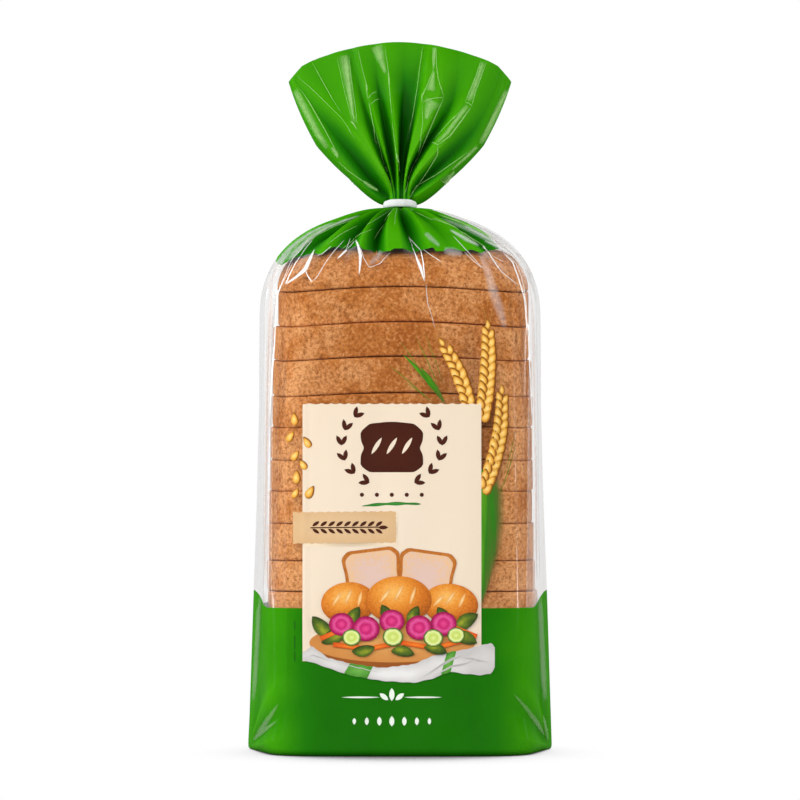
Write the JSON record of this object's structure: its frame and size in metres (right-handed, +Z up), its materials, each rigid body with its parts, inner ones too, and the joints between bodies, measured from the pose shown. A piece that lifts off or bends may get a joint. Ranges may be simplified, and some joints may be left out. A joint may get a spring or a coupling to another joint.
{
  "type": "sliced loaf in bread bag",
  "caption": "Square sliced loaf in a printed plastic bread bag, standing on one end, with the neck gathered in a white band under a pleated fan of loose film.",
  "frame": {"origin": "on the floor, under the middle of the bag's section", "axes": "+Z up, from the foot to the fan; -Y out of the printed front; +X to the right of a viewer who faces the front"},
  "size_m": [0.115, 0.1004, 0.267],
  "materials": {
    "bag_film": "thin glossy polypropylene film, green where printed",
    "band": "white moulded band",
    "clear_film": "clear glossy film between the printed zones",
    "crust": "baked wholemeal crust with bran flecks",
    "crumb": "soft wholemeal crumb on the cut faces",
    "print_panel": "cream print under the gloss of the film",
    "print_brown": "dark brown print",
    "print_green": "leaf green print",
    "print_wheat": "golden print of wheat ears and grains",
    "print_picture": "food picture printed in fields of colour"
  },
  "bodies": {
    "root": {"bag": "bag_film", "neck_band": "band"}
  },
  "joints": []
}
